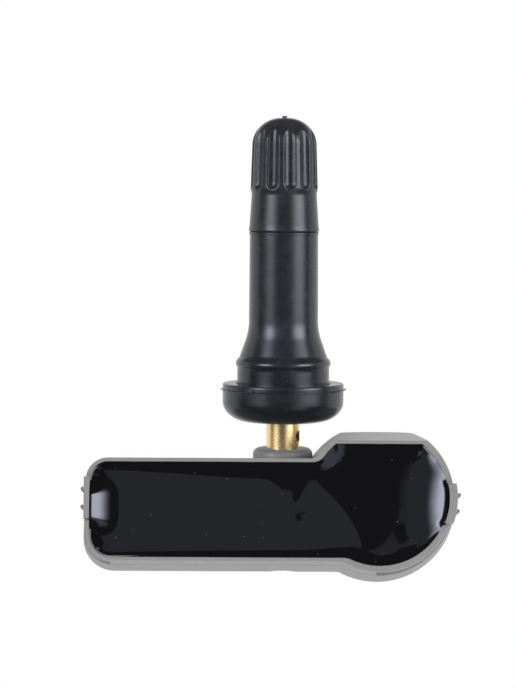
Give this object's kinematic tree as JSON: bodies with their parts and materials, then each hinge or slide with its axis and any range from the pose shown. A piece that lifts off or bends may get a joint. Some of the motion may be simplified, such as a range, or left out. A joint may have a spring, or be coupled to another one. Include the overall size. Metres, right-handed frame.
{
  "type": "tyre pressure sensor",
  "caption": "Tyre pressure sensor: a potted grey sensor cup screwed to a snap-in rubber valve with a brass stem, a sprung valve core and a fluted screw cap.",
  "frame": {"origin": "on the valve axis, in the plane of the flange face that seats on the inside of the wheel rim", "axes": "+Z along the valve axis towards the cap, +X towards the round battery end of the cup, -Y the side that the potted face looks to"},
  "size_m": [0.0593, 0.023, 0.0739],
  "materials": {
    "valve_rubber": "moulded charcoal rubber",
    "stem_brass": "turned brass",
    "seal_rubber": "moulded seal rubber",
    "core_steel": "plated steel",
    "cap_plastic": "moulded charcoal plastic",
    "housing_plastic": "moulded grey plastic",
    "potting_resin": "glossy black resin",
    "board_laminate": "green laminate",
    "cell_steel": "nickel-plated steel",
    "chip_plastic": "moulded black",
    "coil_ferrite": "sintered ferrite",
    "coil_copper": "copper",
    "capacitor_ceramic": "tan ceramic"
  },
  "bodies": {
    "sensor": {"rubber_valve_body": "valve_rubber", "valve_stem": "stem_brass", "core_body": "stem_brass", "core_barrel_seal": "seal_rubber", "core_spring": "core_steel", "housing": "housing_plastic", "mounting_screw": "core_steel", "potting": "potting_resin", "circuit_board": "board_laminate", "battery_cell": "cell_steel", "battery_tab_negative": "cell_steel", "battery_tab_positive": "cell_steel", "sensor_chip": "chip_plastic", "port_gasket": "seal_rubber", "lf_coil_core": "coil_ferrite", "lf_coil_winding": "coil_copper", "timing_crystal": "cell_steel", "board_capacitors": "capacitor_ceramic", "radio_antenna": "coil_copper"},
    "core_plunger": {"core_pin": "core_steel", "core_seat_seal": "seal_rubber"},
    "cap_lift_ring": {"cap_seal": "seal_rubber"},
    "cap": {"valve_cap": "cap_plastic"}
  },
  "joints": [
    {"name": "core_press", "type": "slide", "parent": "sensor", "child": "core_plunger", "axis": [0, 0, -1], "range_m": [0, 0.0015], "stiffness_N_per_m": 400, "springref_m": -0.005, "deforming": ["core_spring"]},
    {"name": "cap_lift", "type": "slide", "parent": "sensor", "child": "cap_lift_ring", "axis": [0, 0, 1], "range_m": [0, 0.00476]},
    {"name": "cap_turn", "type": "hinge", "parent": "cap_lift_ring", "child": "cap", "pos_m": [0, 0, 0.03], "axis": [0, 0, 1], "range_deg": [0, 2160]}
  ],
  "couplings": [
    {"joint": "cap_turn", "follows": "cap_lift", "rad_per_m": 7915.8}
  ]
}
